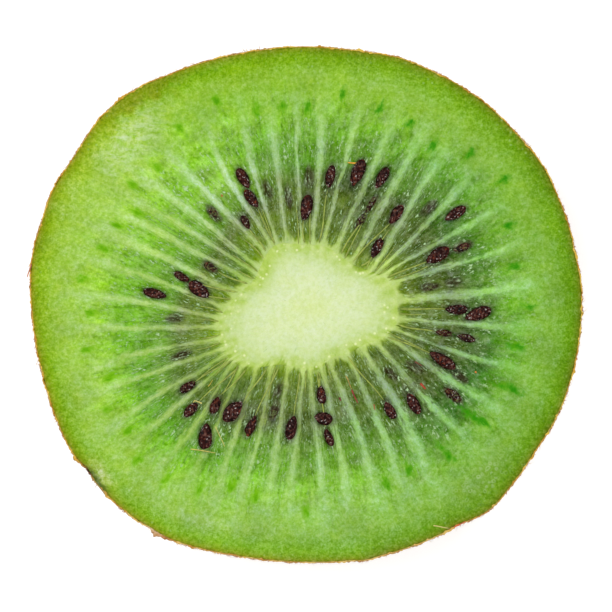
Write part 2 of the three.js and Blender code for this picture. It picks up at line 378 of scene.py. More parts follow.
def cut_face(shares, seeds):
    """One cut face outside the core, as a dict of arrays of rings by columns: the points in X
    and Y, the relief above the plain face, the colours between and along the rays, how far off
    the nearest ray a point is in half breadths of it, and how much ray, wet and grain it has."""
    share, place = np.meshgrid(shares, turns, indexing="ij")
    points = chamber_points(place, share)
    x, y = points[..., 0], points[..., 1]
    offset = points - CORE_MIDDLE
    bearing, reach = bearing_of(offset), np.hypot(offset[..., 0], offset[..., 1])

    def spot(middle, spread, out, out_spread):
        """A soft spot round a bearing and a share of the way out: the bell of one times the
        hump of the other."""
        return bell(bearing, middle, spread) * hump(share, out, out_spread)

    # How far each point is from the nearer of the rays on its two sides.
    gap_index = np.floor(place).astype(int)
    left = chamber_points(gap_index.astype(float), share)
    right = chamber_points((gap_index + 1.0) % len(RAYS), share)
    gap = np.hypot(*np.moveaxis(right - left, -1, 0))
    across = place - gap_index
    bowed = np.sin(np.pi * np.clip(share / 0.7, 0, 1))
    following = (gap_index + 1) % len(RAYS)
    from_left = np.abs(across - ray_bow[gap_index] * bowed)
    from_right = np.abs(1 - across + ray_bow[following] * bowed)
    nearer = np.where(from_left < from_right, gap_index, following)
    half = np.minimum(0.19 + 0.26 * share, 0.36 * gap) * ray_breadth[nearer]
    half = half * (1 + 0.25 * drawn_ripple(place, reach, 1.5, 18))
    half = half * (1 + 0.5 * (1 - ease(0, 0.06, share)))
    sway = 0.05 * ripple(x, y, 3.5, 30) * ease(0, 0.15, share)
    off_ray = np.minimum(from_left, from_right) * gap + sway * np.sign(from_right - from_left)
    off_ray = np.minimum(np.abs(off_ray) / half, FAR_OFF)
    ends = np.random.default_rng(19).uniform(-0.07, 0.07, len(RAYS))[nearer]
    ends = ends - 0.09 * bell(bearing, SUNNY_BEARING, 30)
    ray_strength = 1 - ease(0.5, 0.93, share + ends + 0.05 * ripple(x, y, 1.2, 7))

    # The chambers: rounded where they start, pointed where they end.
    middling = 1 - (2 * across - 1) ** 2
    end = 0.7 + 0.1 * middling + 0.05 * drawn_ripple(place, reach, 0.8, 8)
    chamber = finger(place, share * FLESH_DEPTH) * (1 - ease(end - 0.22, end + 0.1, share))

    # Their colours set in earlier or later on different sides, and are darker between the seeds
    # on some sides, clearer on others and a more vivid green in places half way out.
    outer = tint(share, OUTER_TINTS)
    outer = blend_to(outer, tint(share, RAY_TINTS), 1 - ease(0.02, 0.08, share))
    drift = 0.14 * bell(bearing, 300, 54, 4) * (1 - 0.5 * ease(0.35, 0.55, share))
    drift -= 0.08 * bell(bearing, 125, 30) + 0.03 * bell(bearing, 25, 25)
    depth = share + drift * ease(0.12, 0.26, share)
    tone = blend_to(outer, tint(depth, CHAMBER_TINTS), chamber)
    seed_zone = 1 - ease(0.3, 0.42, share)
    outside_seeds = (1 - seed_zone) * (1 - ease(0.45, 0.7, share))
    murk = 1 + 0.05 * bell(bearing, 318, 26) - 0.16 * bell(bearing, 85, 40) * outside_seeds
    murk -= 0.12 * bell(bearing, 212, 22) * seed_zone
    crisp = bell(bearing, 80, 75, 4) - 0.7 * bell(bearing, 232, 42, 4)
    murk -= crisp * (0.05 + 0.05 * (1 - ease(0.12, 0.25, share)))
    murk += 0.06 * ripple(x, y, 2.0, 9) + 0.05 * drawn_ripple(place, reach, 0.35, 17)
    tone = tone * (1 + (murk - 1) * chamber)[..., None]
    vivid = spot(114, 24, 0.51, 0.1) + 0.8 * spot(243, 27, 0.49, 0.11) + 0.4 * spot(347, 22, 0.52, 0.07)
    tone = tone * (1 - (vivid * chamber)[..., None] * np.array([0.16, 0.06, 0.8]))
    pale = tint(share + np.maximum(depth - share, 0), RAY_TINTS)

    # The side towards the sunny bearing, on the key light's side, is painted paler and yellower:
    # painted light. The opposite one's dry rim is bluer, and the rays are milkier on some sides.
    # Then the patches.
    sunny = np.cos(np.radians(bearing - SUNNY_BEARING))
    bluer = 0.18 * np.cos(np.radians(bearing - 215)) * ease(0.55, 0.85, share)
    dry = ease(0.88, 0.95, share)
    bluer += 0.6 * dry * bell(bearing, 208, 50, 4)
    gradient = np.stack([1 + 0.11 * sunny, 1 + 0.06 * sunny, 1 + bluer], -1)
    gradient = 1 + (gradient - 1) * ease(0, 0.25, share)[..., None]
    gradient = gradient * (1 + 0.025 * ripple(x, y, 5.0, 10))[..., None]
    tone, pale = tone * gradient, pale * gradient
    tone = tone * (1 + 0.1 * dry * bell(bearing, 195, 30))[..., None]
    whiter = 1.05 + 0.12 * bell(bearing, 335, 35) - 0.1 * bell(bearing, 215, 25)
    whiter -= 0.1 * hump(share, 0.43, 0.13)
    milky = spot(323, 13, 0.44, 0.13)
    whiter += 0.24 * milky
    pale = pale * np.stack([1 + 0 * share, 1 + 0 * share, whiter], -1)
    pale = pale * (1 + 0.055 * crisp * ease(0.02, 0.06, share) + 0.04 * milky)[..., None]
    for middle, spread, out, out_spread, red, green, blue in PATCHES:
        change = spot(middle, spread, out, out_spread)[..., None] * np.array([red, green, blue])
        tone, pale = np.maximum(tone + change, 0), pale + change

    # The green bundle near each chamber's outer end: an oval that on one side of the slice is
    # drawn out far inwards, and elsewhere has a short faint tail.
    knots = np.zeros_like(share)
    for i, bundle_reach in enumerate(BUNDLE_REACH):
        if bundle_reach:
            middle_out = (ray_out[i] + (ray_out[(i + 1) % len(RAYS)] - ray_out[i]) % 360 / 2) % 360
            away = points - (CORE_MIDDLE + bundle_reach * outwards(middle_out))
            along = away @ outwards(middle_out)
            beside = away @ outwards(middle_out + 90)
            drawn_out = bell(middle_out, LONG_BUNDLES, 18)
            long_side = np.where(along < 0, 0.58 + 2 * drawn_out, 0.58)
            far = np.hypot(along / long_side, beside / 0.35) + 0.15 * ripple(x, y, 0.6, 40 + i)
            knot = np.exp(-0.8 * far**2)
            tail = hump(along, -0.8, 0.9) * hump(beside, 0, 0.3)
            knots = np.maximum(knots, knot)
            tone = blend_to(tone, BUNDLE_SUNNY, 0.35 * (1 - drawn_out) * tail)
            ray_strength = ray_strength * (1 - 0.8 * knot)

    # A bruise by the skin on one side, and on another a pale scar under a dark scab.
    bruise = spot(BRUISE_BEARING, 9.5, 0.85, 0.08)
    bruise = bruise * ease(-0.8, 0.5, ripple(x, 1.6 * y, 1.5, 11) + 0.5 * ripple(x, 2 * y, 0.6, 16))
    tone = blend_to(tone, BRUISE_PALE, bruise)
    olive = bell(bearing, 321, 9) * ease(0.9, 0.96, share + 0.02 * ripple(x, y, 1.5, 12))
    tone = blend_to(tone, BRUISE_OLIVE, 0.85 * olive)
    scar = bell(bearing, SCAB_BEARING + 0.3, 4) * hump(share, 0.95, 0.033)
    tone = blend_to(tone, SCAR_PALE, 0.9 * scar)
    dried = ease(0.97, 0.99, share + 0.006 * ripple(x, y, 0.9, 25))
    dried = dried * bell(bearing, SCAB_BEARING - 0.2, 3.6, 4)
    tone = blend_to(tone, SCAB_DARK, 0.75 * dried)

    # The seeds: a painted shadow round each one, darkening the flesh and the rays, and the dark of those
    # that the flesh veils.
    socket, veiled = np.zeros_like(share), np.zeros_like(share)
    for seed in seeds:
        middle, long_way, cross_way = seed_frame(seed)
        away = points - middle
        length, width, veil = seed[3:]
        oval = np.hypot(away @ long_way / (length / 2), away @ cross_way / (width / 2))
        # Painted shadow round the seed, over the chamber's colour and the rays' colour.
        shade = np.exp(-((np.maximum(oval - 0.95, 0) / 0.3) ** 2))
        tone = tone * (1 - (0.42 - 0.2 * veil) * shade)[..., None]
        pale = pale * (1 - (0.3 - 0.15 * veil) * shade)[..., None]
        if veil > FAINT:
            dark = 1 - ease(0.6, 1.2, oval + 0.15 * ripple(x, y, 0.5, 13))
            tone = blend_to(tone, VEILED_SEED, dark * min(1.4 - veil, 0.9))
            ray_strength = ray_strength * (1 - 0.8 * dark)
            veiled = np.maximum(veiled, dark * min(1.5 - veil, 0.9))
        socket = np.maximum(socket, (1 - ease(0.9, 1.5, oval)) * (1 - veil))

    ray = np.exp(-(off_ray**2)) * ray_strength
    wet = chamber * (1 - ray) * (1 - knots)
    dish = -0.18 * np.sin(np.pi * np.clip(share / 0.62, 0, 1))
    relief = dish + 0.09 * ray - 0.07 * chamber * middling
    relief += 0.045 * wet * ripple(x, y, 0.8, 14) + 0.02 * ripple(x, y, 1.7, 15)
    relief -= 0.08 * socket
    relief += 0.06 * (1 - ease(0, 0.08, share)) * (1 - chamber)
    return {
        "points": points,
        "relief": relief,
        "tone": tone,
        "pale": pale,
        "off_ray": off_ray,
        "ray": ray_strength,
        "wet": wet,
        "fine": (0.35 + 0.65 * ease(0, 0.08, share)) * (1 - 0.6 * knots),
        "rim": ease(0.84, 0.94, share),
        "grain": np.maximum(ease(0.4, 0.75, share) * (1 - knots), 0.5 * (1 - ease(0, 0.05, share))),
        "halo": 0 * share,
        "veiled": veiled,
        "knot": knots,
        "froth": spot(134, 8, 0.87, 0.07),
        "brushed": spot(BRUISE_BEARING, 10, 0.83, 0.09),
        # How far each point lies towards the sunny side, for the bundles' painted light.
        "sun": ease(0.1, 0.8, (1 + np.cos(np.radians(bearing - 255))) / 2),
    }


def core_face(shares, number):
    """One cut face of the core, as a dict of arrays of rings by columns, like cut_face."""
    share, place = np.meshgrid(shares, turns, indexing="ij")
    points = core_points(place, share)
    bearing = between_rays(ray_in, place, 360) % 360
    tone = tint(share, CORE_TINTS)
    greener = bell(bearing, 312, 22) * ease(0.7, 0.92, share)
    tone = blend_to(tone, (176, 206, 84), 0.85 * greener)
    across = np.sin(np.pi * (place % 1)) ** 2
    x, y = points[..., 0], points[..., 1]
    between = across * ease(0.8, 1, share + 0.05 * ripple(x, y, 0.8, number + 40))
    tone = blend_to(tone, (176, 206, 92), 0.65 * between)
    roots = (1 - across) ** 2 * ease(0.84, 0.98, share)
    tone = blend_to(tone, (212, 231, 148), 0.6 * roots)
    fingertips = finger(place, (share - 1) * core_reach(bearing))
    tone = blend_to(tone, CHAMBER_TINTS[0][1:], fingertips)

    halo = ease(0.78, 0.86, share) * (1 - ease(0.95, 1.0, share))
    mottle = np.clip(ripple(x, y, 1.0, number), 0, 1)
    tone = blend_to(tone, (172, 203, 84), 0.35 * mottle * ease(0.7, 0.9, share))
    relief = PROUD - 0.03 * ease(0.8, 1, share)
    return {
        **dict.fromkeys(FLESH_VALUES, np.zeros_like(share)),
        "points": points,
        "relief": relief,
        "tone": tone,
        "pale": tone,
        "off_ray": 0 * share + FAR_OFF,
        "fine": 0.24 + 0.12 * ease(0.72, 0.9, share),
        "grain": 0.45 + 0.12 * ease(0.72, 0.9, share),
        "halo": halo,
    }


def make_piece(name, points, quads, ends=()):
    """A smooth piece from points in millimetres, its four-sided faces, and the faces that end it."""
    mesh = bpy.data.meshes.new(name)
    mesh.from_pydata(points.reshape(-1, 3) * MM, [], quads.reshape(-1, 4).tolist() + list(ends))
    mesh.shade_smooth()
    piece = bpy.data.objects.new(name, mesh)
    bpy.context.scene.collection.objects.link(piece)
    return piece


def closed_rings(name, rings, start_point, end_point):
    """A closed surface: rings of points joined by four-sided faces, and a point at each end."""
    count, columns = rings.shape[:2]
    points = np.vstack([rings.reshape(-1, 3), [start_point, end_point]])
    corner = np.arange(count * columns).reshape(count, columns)
    beside = np.roll(corner, -1, axis=1)
    quads = np.stack([corner[:-1], corner[1:], beside[1:], beside[:-1]], -1)
    first = np.stack([np.full(columns, count * columns), corner[0], beside[0]], -1)
    last = np.stack([np.full(columns, count * columns + 1), beside[-1], corner[-1]], -1)
    return make_piece(name, points, quads, first.tolist() + last.tolist())


def store(piece, name, values, kind="FLOAT"):
    """Stores a number, a vector or a linear colour for each of the piece's points."""
    is_colour = kind == "FLOAT_COLOR"
    layers = piece.data.color_attributes if is_colour else piece.data.attributes
    key = {"FLOAT": "value", "FLOAT_VECTOR": "vector", "FLOAT_COLOR": "color"}[kind]
    values = np.insert(values, 3, 1, axis=-1) if is_colour else values
    layer = layers.new(name, kind, "POINT")
    layer.data.foreach_set(key, np.asarray(values, np.float32).ravel())


core_shares = np.append([0.12, 0.32, 0.52, 0.68], np.linspace(0.78, 0.985, 11))
upper_shares = np.append(np.linspace(0, 0.1, 12), np.linspace(0.111, 0.8, 66))
upper_shares = np.append(upper_shares, np.linspace(0.812, 1, 16))
lower_shares = np.append(np.linspace(0, 0.8, 13), [0.9, 0.96, 1])
LOWER_REST = 0.14  # the lower face is drawn this far up where nothing on it touches down
PROUD = 0.09  # how far the core stands proud of each face
GROUND_GAP = 0.005  # no flesh reaches lower than this
SIDE_BACK = 0.2  # how far the flesh's side stands back under the skin

upper_core = core_face(core_shares, 26)
upper_flesh = cut_face(upper_shares, UPPER_SEEDS)
LOWER_SEEDS = lower_seeds()
lower_flesh = cut_face(lower_shares, LOWER_SEEDS)
lower_core = core_face(core_shares[::3], 27)


def lift(face, level, way):
    """The face's points at their height: level plus the relief, which points up or down."""
    return at_height(face["points"], level + way * face["relief"])


def soften_edge(points, shares, way):
    """Rounds a cut face's outer edge over, as a quarter of a circle EDGE_ROUND across."""
    inside = np.clip((1 - shares) * FLESH_DEPTH / EDGE_ROUND, 0, 1)
    points[..., 2] -= way * (EDGE_ROUND * (1 - np.sqrt(1 - (1 - inside) ** 2)))[:, None]
    return points


upper_points = soften_edge(lift(upper_flesh, THICKNESS, 1), upper_shares, 1)
lower_points = soften_edge(lift(lower_flesh, LOWER_REST, -1), lower_shares, -1)
lower_points[..., 2] = np.maximum(lower_points[..., 2], GROUND_GAP)
side_heights = np.array([7.5, 4.5, 1.5])
bulge = SIDE_BULGE * (1 - (side_heights / THICKNESS * 2 - 1) ** 2) - SIDE_BACK
rim_ring = upper_points[-1, :, :2]
side_flat = rim_ring + unit(rim_ring) * bulge[:, None, None]
side_points = at_height(side_flat, side_heights[:, None] + 0 * turns)
core_top, core_base = lift(upper_core, THICKNESS, 1), lift(lower_core, LOWER_REST, -1)
rings = np.concatenate([core_top, upper_points, side_points, lower_points[::-1], core_base[::-1]])
top_point, base_point = [*CORE_MIDDLE, THICKNESS + PROUD], [*CORE_MIDDLE, LOWER_REST - PROUD]
flesh = closed_rings("kiwi_flesh", rings, top_point, base_point)


def stack(which):
    """One kind of value for all the flesh's rings in order, with the two end points' added."""
    side = np.repeat(upper_flesh[which][-1:], len(side_heights), axis=0)
    rows = [upper_core[which], upper_flesh[which], side]
    rows += [lower_flesh[which][::-1], lower_core[which][::-1]]
    whole = np.concatenate(rows)
    whole = whole.reshape(-1, *whole.shape[2:])
    return np.concatenate([whole, [upper_core[which][0, 0], lower_core[which][0, 0]]])


for name in ("tone", "pale"):
    store(flesh, name, reflectance(stack(name)), "FLOAT_COLOR")
for name in FLESH_VALUES:
    store(flesh, name, stack(name))

# Where each point lies along the fibres: the rays wrapped round a drum, and the way out along
# its axis, drawn in so that noise over it comes out long.
FIBRE_DRUM = 12
FIBRE_STRETCH = 0.25
drum_turn = np.tile(2 * np.pi * turns / len(RAYS), len(rings))
flat_reach = np.linalg.norm(rings[..., :2] - CORE_MIDDLE, axis=-1).ravel()
drum = FIBRE_DRUM * np.stack([np.cos(drum_turn), np.sin(drum_turn)], -1)
fibre = at_height(drum, FIBRE_STRETCH * flat_reach)
store(flesh, "fibre", np.vstack([fibre, np.zeros((2, 3))]), "FLOAT_VECTOR")


class Finish:
    """A material with a Principled shader. Its wires start from stored values and from its place."""

    def __init__(self, name, **sockets):
        """A new material of that name, with the shader's sockets set to the values given."""
        self.material = bpy.data.materials.new(name)
        self.material.use_nodes = True
        self.tree = self.material.node_tree
        self.shader = self.tree.nodes["Principled BSDF"]
        for socket, value in sockets.items():
            self.shader.inputs[socket.replace("_", " ")].default_value = value

    def add(self, kind, inputs=(), output=0, **settings):
        """Adds a node, sets or joins its inputs by name or number, and gives one output's wire."""
        node = self.tree.nodes.new(kind)
        for key, value in settings.items():
            setattr(node, key, value)
        for key, value in dict(inputs).items():
            if isinstance(value, Wire):
                self.tree.links.new(value.socket, node.inputs[key])
            else:
                node.inputs[key].default_value = value
        return Wire(self, node.outputs[output])

    def place(self):
        """Where each point lies on the piece."""
        return self.add("ShaderNodeTexCoord", output="Object")

    def stored(self, name, output="Fac"):
        """What is stored for each point of the piece: a number, or its Vector or Color."""
        return self.add("ShaderNodeAttribute", output=output, attribute_name=name)

    def put(self, piece, **wires):
        """Joins wires to the shader's sockets and puts the material on the piece."""
        for socket, wire in wires.items():
            self.tree.links.new(wire.socket, self.shader.inputs[socket.replace("_", " ")])
        piece.data.materials.append(self.material)


class Wire:
    """A number, colour or place on its way from one node of a material to others."""

    def __init__(self, finish, socket):
        """The wire that leaves this socket in this finish."""
        self.finish, self.socket = finish, socket

    def __add__(self, other):
        """This number plus another, or plus another wire's."""
        return self.finish.add("ShaderNodeMath", {0: self, 1: other}, operation="ADD")

    def __mul__(self, other):
        """This number times another, or times another wire's."""
        return self.finish.add("ShaderNodeMath", {0: self, 1: other}, operation="MULTIPLY")

    def spread(self, low, high, to_low=0, to_high=1):
        """The stretch from low to high, spread over to_low to to_high and held there."""
        keys = {0: self, 1: low, 2: high, 3: to_low, 4: to_high}
        return self.finish.add("ShaderNodeMapRange", keys)

    def blend(self, colour, other):
        """The first colour, moved towards the other by this share."""
        colour, other = (solid(c) if isinstance(c, tuple) else c for c in (colour, other))
        return self.finish.add("ShaderNodeMix", {0: self, 6: colour, 7: other}, 2, data_type="RGBA")

    def tinted(self, factors):
        """A colour or a place, each of its three numbers times its own factor."""
        return self.finish.add("ShaderNodeVectorMath", {0: self, 1: factors}, operation="MULTIPLY")

    def scaled(self, factor):
        """A colour made lighter or darker by a factor."""
        keys = {0: self, "Scale": factor}
        return self.finish.add("ShaderNodeVectorMath", keys, operation="SCALE")

    def noise(self, size, detail=3, roughness=0.6):
        """Cloudy noise over this place, with lumps 1/size across."""
        keys = {"Vector": self, "Scale": size, "Detail": detail, "Roughness": roughness}
        return self.finish.add("ShaderNodeTexNoise", keys)

    def cells(self, size):
        """Cells 1/size across: how far off each one's middle is, and a random number for each."""
        far = self.finish.add("ShaderNodeTexVoronoi", {"Vector": self, "Scale": size}, "Distance")
        return far, Wire(self.finish, far.socket.node.outputs["Color"])

    def bump(self, depth, normal=None):
        """The surface tilted as if this height, from 0 to 1, stood depth proud."""
        keys = {"Height": self, "Distance": depth, "Strength": 1}
        if normal is not None:
            keys["Normal"] = normal
        return self.finish.add("ShaderNodeBump", keys)


def solid(seen):
    """A colour for a socket, from the display colour it should look when lit."""
    return (*reflectance(seen), 1.0)


pulp = Finish(
    "kiwi_flesh",
    Roughness=0.42,
    IOR=1.36,
    Specular_IOR_Level=0.03,
    Subsurface_Weight=0.08,
    Subsurface_Radius=(0.5, 0.9, 0.25),
    Subsurface_Scale=0.0004,
    Coat_Weight=0.04,
    Coat_Roughness=0.1,
)
place, fibres = pulp.place(), pulp.stored("fibre", "Vector")
wet, fine, grain, rim = (pulp.stored(name) for name in ("wet", "fine", "grain", "rim"))

# The rays, with fibrous edges, over the flesh between them.
streaks = fibres.noise(5.5)
ragged = pulp.stored("off_ray") + streaks.spread(0.3, 0.7, -0.75, 0.75)
ray = ragged.spread(grain * 0.55 + 1.35, grain * -0.35 + 0.35) * pulp.stored("ray")
tone = ray.blend(pulp.stored("tone", "Color"), pulp.stored("pale", "Color"))

# Lighter and darker grains, and streaks along the fibres: what is dark is greener, and what is
# light is milky.
whitening = wet * 0.09 + rim.spread(0, 1, 0.08, 0.038)


def milled(colour, noise, share, low, high):
    """The colour made deeper where the noise is low and milkier where it is high, by share."""
    milk = whitening.blend(colour.tinted((1.22, 1.12, 1.5)), (232, 244, 204))
    shaded = noise.spread(low, 0.5).blend(colour.tinted((0.72, 0.79, 0.27)), colour)
    return share.blend(colour, noise.spread(0.5, high).blend(shaded, milk))


grains, grit, clouds = place.noise(2900, 2), place.noise(6000, 2, 0.7), place.noise(1000)
coarse = (fine * 0.32 + grain * 0.26) * rim.spread(0, 1, 1, 1.5)
tone = milled(tone, grains, coarse, 0.36, 0.66)
tone = milled(tone, grit, fine * rim.spread(0, 1, 0.42, 0.85), 0.32, 0.68)
tone = milled(tone, streaks, fine * 0.5 + grain * -0.22, 0.32, 0.7)
tone = milled(tone, clouds, fine * 0.35, 0.35, 0.65)

# Milkier and clearer patches: only the blue changes, and the rays change less.
milkiness = place.noise(750).spread(0.3, 0.7, 0.62, 1.42)
only_blue = pulp.add("ShaderNodeCombineXYZ", {0: 1, 1: 1, 2: milkiness})
tone = (fine * ray.spread(0, 1, 1, 0.45)).blend(tone, tone.tinted(only_blue))

# Murky spots in the wet chambers.
murk = place.noise(2500, 3, 0.7) * 0.5 + fibres.noise(3.6, 3, 0.65) * 0.5
tone = (wet * murk.spread(0.5, 0.4, 0, 0.85)).blend(tone, tone.tinted((0.52, 0.62, 0.12)))

# A thin pale haze of gel, drawn along the fibres.
haze = fibres.noise(2.2, 4, 0.65).spread(0.46, 0.66)
tone = (haze * wet * 0.15).blend(tone, (180, 208, 140))

# Tiny pale specks on shreds and beads of wet gel that keep together, the shreds drawn along the fibres:
# painted highlights, glints on the wet gel.
gathered = place.noise(700, 2).spread(0.4, 0.58)
short_fibres = fibres.tinted((1, 1, 1.4))
shreds = short_fibres.noise(6.5, 2).spread(0.56, 0.66)
bead_far, bead_any = place.cells(5600)
bead_far = bead_far + murk.spread(0.3, 0.7, -0.12, 0.12)
bead = bead_far.spread(0.36, 0.14) * bead_any.spread(0.6, 1.1)
painted_gel_glints = (bead + shreds) * (gathered * (wet * grain.spread(0, 0.8, 1, 0.5)))
tone = (painted_gel_glints * 0.9).blend(tone, (192, 226, 170))

# Pale crumbs scattered over the drier outer flesh, and pale strokes where the bruise dried.
crumb_far, crumb_any = place.cells(2600)
crumb = crumb_far.spread(0.4, 0.15) * crumb_any.spread(0.62, 0.95)
crumb = crumb * place.noise(300, 2, 0.5).spread(0.45, 0.6) * (grain.spread(0.85, 1) * 0.5)
tone = crumb.blend(tone, (180, 214, 140))
stroke = place.tinted((0.6, 1.5, 1)).noise(1500, 3, 0.65).spread(0.5, 0.6)
stroke = stroke * pulp.stored("brushed").spread(0.1, 0.9)
tone = (stroke * 0.6).blend(tone, (206, 230, 172))

# A patch of small bubbles by the skin, pale round their edges and dull between.
froth = pulp.stored("froth")
bubble_far, bubble_any = place.cells(2300)
bubble_far = bubble_far + grains.spread(0.3, 0.7, -0.16, 0.16)
bubble = bubble_far.spread(0.12, 0.3) * bubble_far.spread(0.52, 0.36)
bubble = bubble * bubble_any.spread(0.3, 0.7) * froth
tone = (froth * 0.3).blend(tone, (112, 142, 50))
tone = (bubble * 0.6).blend(tone, (182, 210, 146))

# The bundles: ragged deep green spots, deepest in the middle, painted lighter and yellower towards the
# sunny side as painted light.
sun = pulp.stored("sun")
knot = pulp.stored("knot") + short_fibres.noise(4, 3, 0.7).spread(0.3, 0.7, -0.4, 0.4)
tone = knot.spread(0.22, 0.8, 0, 0.9).blend(tone, sun.blend(BUNDLE_SHADY, BUNDLE_SUNNY))
tone = knot.spread(0.75, 1.15, 0, 0.8).blend(tone, sun.blend((38, 132, 0), (88, 160, 0)))

# The veiled seeds show through as broken dark spots with shreds of pale skin over them.
veiled = pulp.stored("veiled")
broken = short_fibres.noise(4.5, 3, 0.65)
tone = (veiled * broken.spread(0.58, 0.42, 0, 0.9)).blend(tone, (44, 26, 18))
tone = (veiled * broken.spread(0.56, 0.66, 0, 0.75)).blend(tone, (172, 192, 156))

# A string of pale dots just inside the core's edge: small bundles, cut across.
dot_far, dot_any = place.cells(1900)
dot = dot_far.spread(0.3, 0.14) * dot_any.spread(0.25, 0.5) * pulp.stored("halo")
tone = (dot * 0.85).blend(tone, (236, 246, 182))

normal = painted_gel_glints.bump(0.00005, (streaks * fine).bump(0.00003, grit.bump(0.00003)))
pulp.put(flesh, Base_Color=tone, Normal=normal, Coat_Normal=normal)
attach(flesh, "root")
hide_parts("kiwi_slice")


# ---- The skin ----
# A thin brown skin that grows on the flesh and was cut with it. Its cut edge shows as a fine
# brown line round each face, a little ragged, and its side is dull, rough and fuzzy.

SKIN_SHRINK = 0.045  # the cut skin has dried back this far
SKIN_ROWS = 16

# Where a flake of skin stands off the cut edge: bearing, spread, how far out and how far up.
SKIN_FLAKES = (
    (213.5, 0.9, 0.36, -0.1), (211.8, 1.6, 0.14, 0), (208.2, 0.5, 0.16, 0), (235.8, 0.8, 0.12, 0),
    (318.5, 1.8, 0.13, 0),
    (226, 0.8, 0.16, 0), (205, 0.6, 0.14, 0), (236.5, 0.5, 0.16, 0), (148, 1.4, 0.12, 0),
    (172, 0.6, 0.1, 0), (12, 0.7, 0.1, 0), (3, 0.5, 0.12, 0), (104, 0.5, 0.12, 0),
    (118, 0.4, 0.14, 0), (124, 0.5, 0.12, 0), (92, 0.4, 0.12, 0), (80, 0.6, 0.1, 0),
)

skin_bearings = np.arange(1440) / 4


def skin_wall(rows, inset, flake_share):
    """The skin's wall from the lower face to the upper, as rings by bearings: the cut outline,
    bulged by a parabola, with small lumps, moved in by inset."""
    up, bearing = np.meshgrid(rows, skin_bearings, indexing="ij")
    reach = rim_reach(bearing) + SIDE_BULGE * (1 - up**2)
    around = np.radians(bearing) * RIM_RADIUS
    height = THICKNESS / 2 * (1 + up)
    lumps = 0.05 * ripple(around, height, 1.6, 20) + 0.05 * ripple(around, height, 0.4, 21)
    # The sine waves are faded at the seam so that the first and last bearing agree.
    seam = 1 - bell(bearing, 0, 3)
    lumps = np.clip(lumps, -0.07, 0.16) * seam
    top = ease(0.8, 1, up)
    ragged = 0.05 * ripple(around, 0 * around, 0.7, 22) + 0.04 * ripple(around, 0 * around, 0.25, 23)
    ragged = ragged * seam
    for middle, spread, out, raised in SKIN_FLAKES:
        torn = 1 + 0.3 * ripple(around, height, 0.4, 24)
        reach = reach + out * flake_share * top * torn * bell(bearing, middle, spread, 4)
        ragged = ragged + raised * flake_share * bell(bearing, middle, spread)
    height = height + (ragged - 0.1) * ease(0.75, 1, up) + 0.02 * (1 - ease(-1, -0.9, up))
    flat = outwards(bearing) * (reach + lumps - SKIN_SHRINK - inset)[..., None]
    return at_height(flat, height)


wall_rows = np.sin(np.linspace(-np.pi / 2, np.pi / 2, SKIN_ROWS))
outer_wall = skin_wall(wall_rows, 0.0, 1.0)
inner_wall = skin_wall(wall_rows[::-3], skin_depth(skin_bearings), 0.1)
lip = (outer_wall[-1] + inner_wall[0]) / 2 + [0, 0, 0.02]
foot = (outer_wall[0] + inner_wall[-1]) / 2
skin_rings = np.concatenate([outer_wall, lip[None], inner_wall, foot[None]])


def closed_loop(name, rings):
    """A closed tube: rings joined by four-sided faces, and the last ring joined to the first."""
    corner = np.arange(rings.size // 3).reshape(rings.shape[:2])
    onward = np.roll(corner, -1, axis=0)
    beside, beyond = np.roll(corner, -1, axis=1), np.roll(onward, -1, axis=1)
    return make_piece(name, rings, np.stack([corner, onward, beyond, beside], -1))


skin = closed_loop("kiwi_skin", skin_rings)
cut_lip = np.zeros(len(skin_rings))
cut_lip[:SKIN_ROWS] = 0.45 * ease(0.4, 0.95, wall_rows) + 0.55 * ease(0.9, 1, np.abs(wall_rows))
cut_lip[SKIN_ROWS : SKIN_ROWS + 2] = 1
cut_lip[-2:] = 1
store(skin, "cut_lip", np.repeat(cut_lip, len(skin_bearings)))
crack = np.ones(len(skin_rings))
crack[:SKIN_ROWS] = ease(0.2, 0.95, wall_rows)
cracked = bell(skin_bearings, SCAB_BEARING + 1.4, 1.5)
scabbed = np.maximum(cracked, 0.5 * bell(skin_bearings, SCAB_BEARING - 1.2, 3.2, 4))
store(skin, "crack", np.outer(crack, scabbed))
tan = np.maximum(0.35 * bell(skin_bearings, 180, 50, 4), bell(skin_bearings, 213, 3, 4))
store(skin, "tan", np.tile(tan, len(skin_rings)))

rind = Finish("kiwi_skin", Roughness=0.72, Specular_IOR_Level=0.3)
place = rind.place()
blotch, fleece, pores_far = place.noise(700, 4), place.noise(6000, 3, 0.7), place.cells(2600)[0]
tone = blotch.spread(0.35, 0.65).blend((128, 92, 44), (152, 112, 58))
tone = (pores_far.spread(0.3, 0.1) * 0.4).blend(tone, (96, 66, 32))
tone = fleece.spread(0.5, 0.75, 0, 0.5).blend(tone, (186, 142, 84))
patchy = blotch.spread(0.4, 0.6)
cut_tan = patchy.blend((206, 150, 96), (232, 204, 160))
cut_tone = rind.stored("tan").blend(patchy.blend((216, 160, 42), (238, 202, 82)), cut_tan)
uneven = blotch.spread(0.35, 0.65, 0.75, 1.25)
tone = (rind.stored("cut_lip") * uneven).blend(tone, cut_tone)
tone = rind.stored("crack").blend(tone, (70, 44, 26))
rind.put(skin, Base_Color=tone, Normal=blotch.bump(0.0002, fleece.bump(0.0001)))
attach(skin, "root")


# ---- The fuzz ----
# Short stiff brown hairs that grow out of the skin all round. Most are pressed flat against it
# and some stand out past the cut edge.

HAIRS, HAIR_SIDES = 8500, 3
HAIR_RINGS = ((0, 1), (0.55, 0.75), (1, 0.08))  # how far along each ring is, and its girth
ROOT_DEPTH = 0.04  # how far a hair's root lies inside the skin's wall
HAIR_FOOT = 0.02  # no hair reaches lower than this above the ground
HAIR_GIRTH, TUFT_GIRTH = 0.026, 0.036  # half a hair's thickness at its root
draw = np.random.default_rng(41)
hair_bearing = draw.uniform(0, 360, HAIRS)
hair_up = draw.uniform(-0.985, 0.985, HAIRS)
hair_length = draw.gamma(5.0, 0.12, HAIRS).clip(0.2, 1.0)


